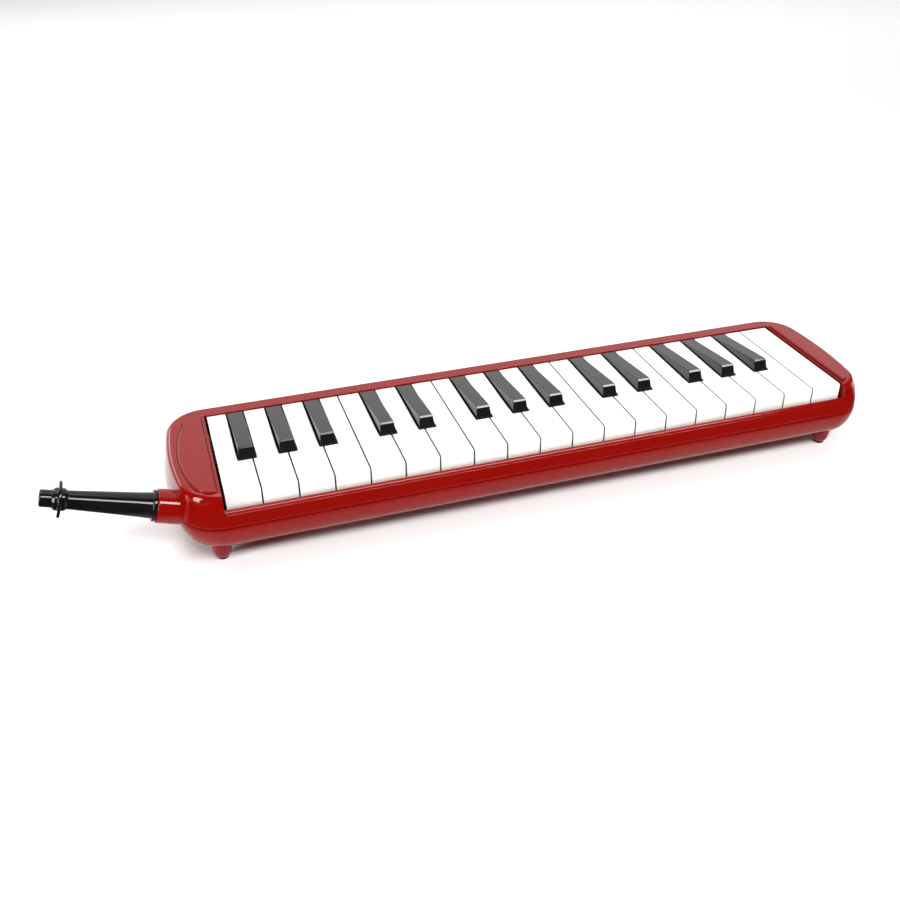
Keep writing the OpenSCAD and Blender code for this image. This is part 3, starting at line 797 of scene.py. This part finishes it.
def dark_card():
    """A card lying in front of the object, seen only in its gloss.

    It is grey at the object and black from half of CARD_FADE away, and it lightens towards its rear edge;
    this grey-to-black ramp is a painted reflection that sets how light or dark the case's walls look.
    """
    rear_y = ORIGIN.y + 0.07
    card = flat_sheet("dark_card", -1.2, -1.8, 1.4, rear_y, CARD_LIFT)
    s = Shader("card_grey_to_black")
    centre = to_frame((KEYS_W / 2, 40, 0))
    half = Vector((KEYS_W / 2 + 5, 25, 0)) * MM
    offset = s.maths("ShaderNodeVectorMath", "SUBTRACT", s.place, centre)
    size = s.maths("ShaderNodeVectorMath", "ABSOLUTE", offset.outputs[0])
    past = s.maths("ShaderNodeVectorMath", "SUBTRACT", size.outputs[0], half)
    outside = s.maths("ShaderNodeVectorMath", "MAXIMUM", past.outputs[0])
    away = s.maths("ShaderNodeVectorMath", "LENGTH", outside.outputs[0])
    reach = s.node("ShaderNodeMapRange", Value=away.outputs["Value"], From_Max=CARD_FADE)
    # Painted reflection: this ramp sets the grey and black that the case's gloss mirrors.
    grey = s.ramp(reach.outputs["Result"], (0.0, 0.85), (0.3, 0.6), (0.42, 0.3), (0.5, 0.03), (1.0, 0.0))
    y = s.node("ShaderNodeSeparateXYZ", Vector=s.place).outputs["Y"]
    rear = s.node("ShaderNodeMapRange", Value=y, From_Min=ORIGIN.y + 0.012, From_Max=rear_y)
    shade = s.mix("LIGHTEN", grey, rear.outputs["Result"])
    card.data.materials.append(s.set(Base_Color=shade, Roughness=1.0, Specular_IOR_Level=0.0))
    card.visible_camera = False
    card.visible_diffuse = False
    card.visible_shadow = False
    card.visible_transmission = False


def room():
    """White overhead and behind, dark towards the front."""
    world = bpy.data.worlds.new("studio")
    bpy.context.scene.world = world
    world.use_nodes = True
    tree = world.node_tree
    background = tree.nodes["Background"]
    place = tree.nodes.new("ShaderNodeTexCoord")
    dot = tree.nodes.new("ShaderNodeVectorMath")
    dot.operation = "DOT_PRODUCT"
    tree.links.new(place.outputs["Generated"], dot.inputs[0])
    dot.inputs[1].default_value = WHITE_TOWARDS
    ramp = tree.nodes.new("ShaderNodeValToRGB")
    tree.links.new(dot.outputs["Value"], ramp.inputs["Fac"])
    dark, white = ramp.color_ramp.elements
    dark.position, dark.color = 0.5, (0.035, 0.035, 0.035, 1)
    white.position, white.color = 0.68, (1.0, 1.0, 1.0, 1)
    tree.links.new(ramp.outputs["Color"], background.inputs["Color"])
    background.inputs["Strength"].default_value = 1.0


def softbox(name, place, aim, size, power):
    """An area light at a place, turned to a point, with its width and height in metres and power in watts."""
    light = bpy.data.lights.new(name, "AREA")
    light.shape = "RECTANGLE"
    light.size, light.size_y = size
    light.energy = power
    lamp = bpy.data.objects.new(name, light)
    bpy.context.scene.collection.objects.link(lamp)
    lamp.location = place
    lamp.rotation_euler = (Vector(aim) - Vector(place)).to_track_quat("-Z", "Y").to_euler()


def camera(azimuth, elevation, roll, target, distance, lens):
    """A camera that looks at target; azimuth 0 looks along +Y and the roll is clockwise, in degrees.

    The distance is in metres and the lens in millimetres, on a 36 mm wide sensor.
    """
    az, el = math.radians(azimuth), math.radians(elevation)
    back = Vector((math.sin(az) * math.cos(el), -math.cos(az) * math.cos(el), math.sin(el)))
    right = Vector((math.cos(az), math.sin(az), 0))
    up = back.cross(right)
    turn = Matrix((right, up, back)).transposed() @ Matrix.Rotation(math.radians(roll), 3, "Z")
    data = bpy.data.cameras.new("camera")
    data.lens = lens
    data.sensor_width = 36
    view = bpy.data.objects.new("camera", data)
    view.matrix_world = Matrix.Translation(Vector(target) + back * distance) @ turn.to_4x4()
    bpy.context.scene.collection.objects.link(view)
    bpy.context.scene.camera = view


bpy.context.scene.view_settings.view_transform = "Standard"
floor()
dark_card()
room()
softbox("overhead", (-0.4, 0.5, 1.6), (0, 0, 0), (1.2, 1.2), 10)
softbox("front", (0.4, -0.95, 1.25), (0, 0, 0), (1.3, 0.36), 27)
softbox("rim", (-1.1, 1.6, 0.62), (-0.1, 0, 0), (1.0, 0.35), 2.4)
softbox("window", (-1.04, -0.25, 0.32), (-0.17, -0.04, 0.04), (0.26, 0.52), 5.8)
softbox("backdrop", (0.5, 1.1, 1.0), (0.65, 2.7, 0), (2.6, 0.4), 10)
camera(-17.123, 32.12, -0.815, to_frame((137.19, 44.1, 19.53)), 0.61957, 41.17)
